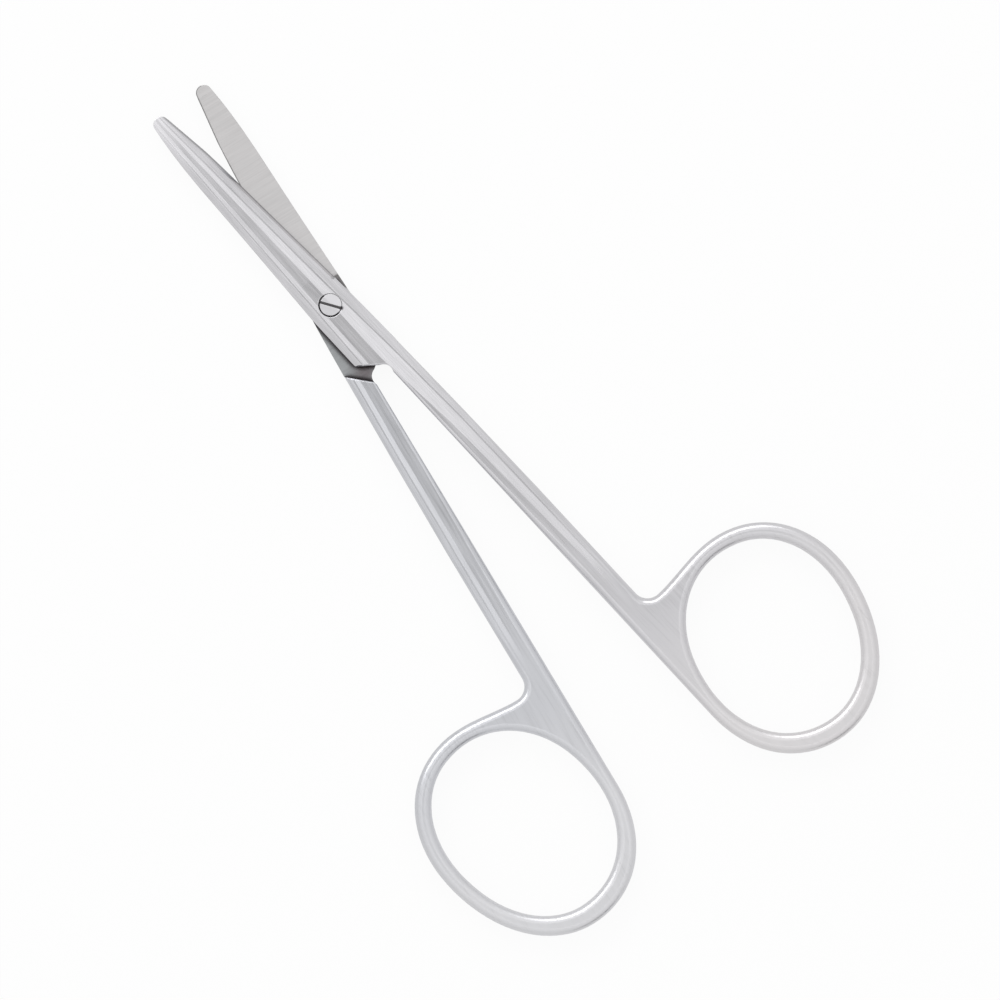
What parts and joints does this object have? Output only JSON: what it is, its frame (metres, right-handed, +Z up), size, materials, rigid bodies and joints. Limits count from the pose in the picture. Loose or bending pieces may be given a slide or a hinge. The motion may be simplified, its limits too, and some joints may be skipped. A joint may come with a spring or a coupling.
{
  "type": "strabismus scissors",
  "caption": "Slim straight surgical scissors with narrow blunt-tipped blades, a flush slotted screw in a half-lap joint, and egg-shaped finger rings set outboard of plain shanks.",
  "frame": {"origin": "on the pivot axis, in the plane that the scissors lie on", "axes": "+Z up along the pivot axis, out of the screw's slotted head; +Y along the middle of the scissors, towards the blade tips; +X towards the ring of the upper half"},
  "size_m": [0.0638, 0.1132, 0.0034],
  "materials": {
    "satin_steel": "satin-ground stainless steel with brighter edge facets",
    "screw_steel": "ground flush with the half round it"
  },
  "bodies": {
    "lower": {"lower_half": "satin_steel", "pivot_screw": "screw_steel"},
    "upper": {"upper_half": "satin_steel"}
  },
  "joints": [
    {"name": "blade_pivot", "type": "hinge", "parent": "lower", "child": "upper", "pos_m": [0, 0, 0.0017], "axis": [0, 0, 1], "range_deg": [-11.8, 78.2]}
  ]
}
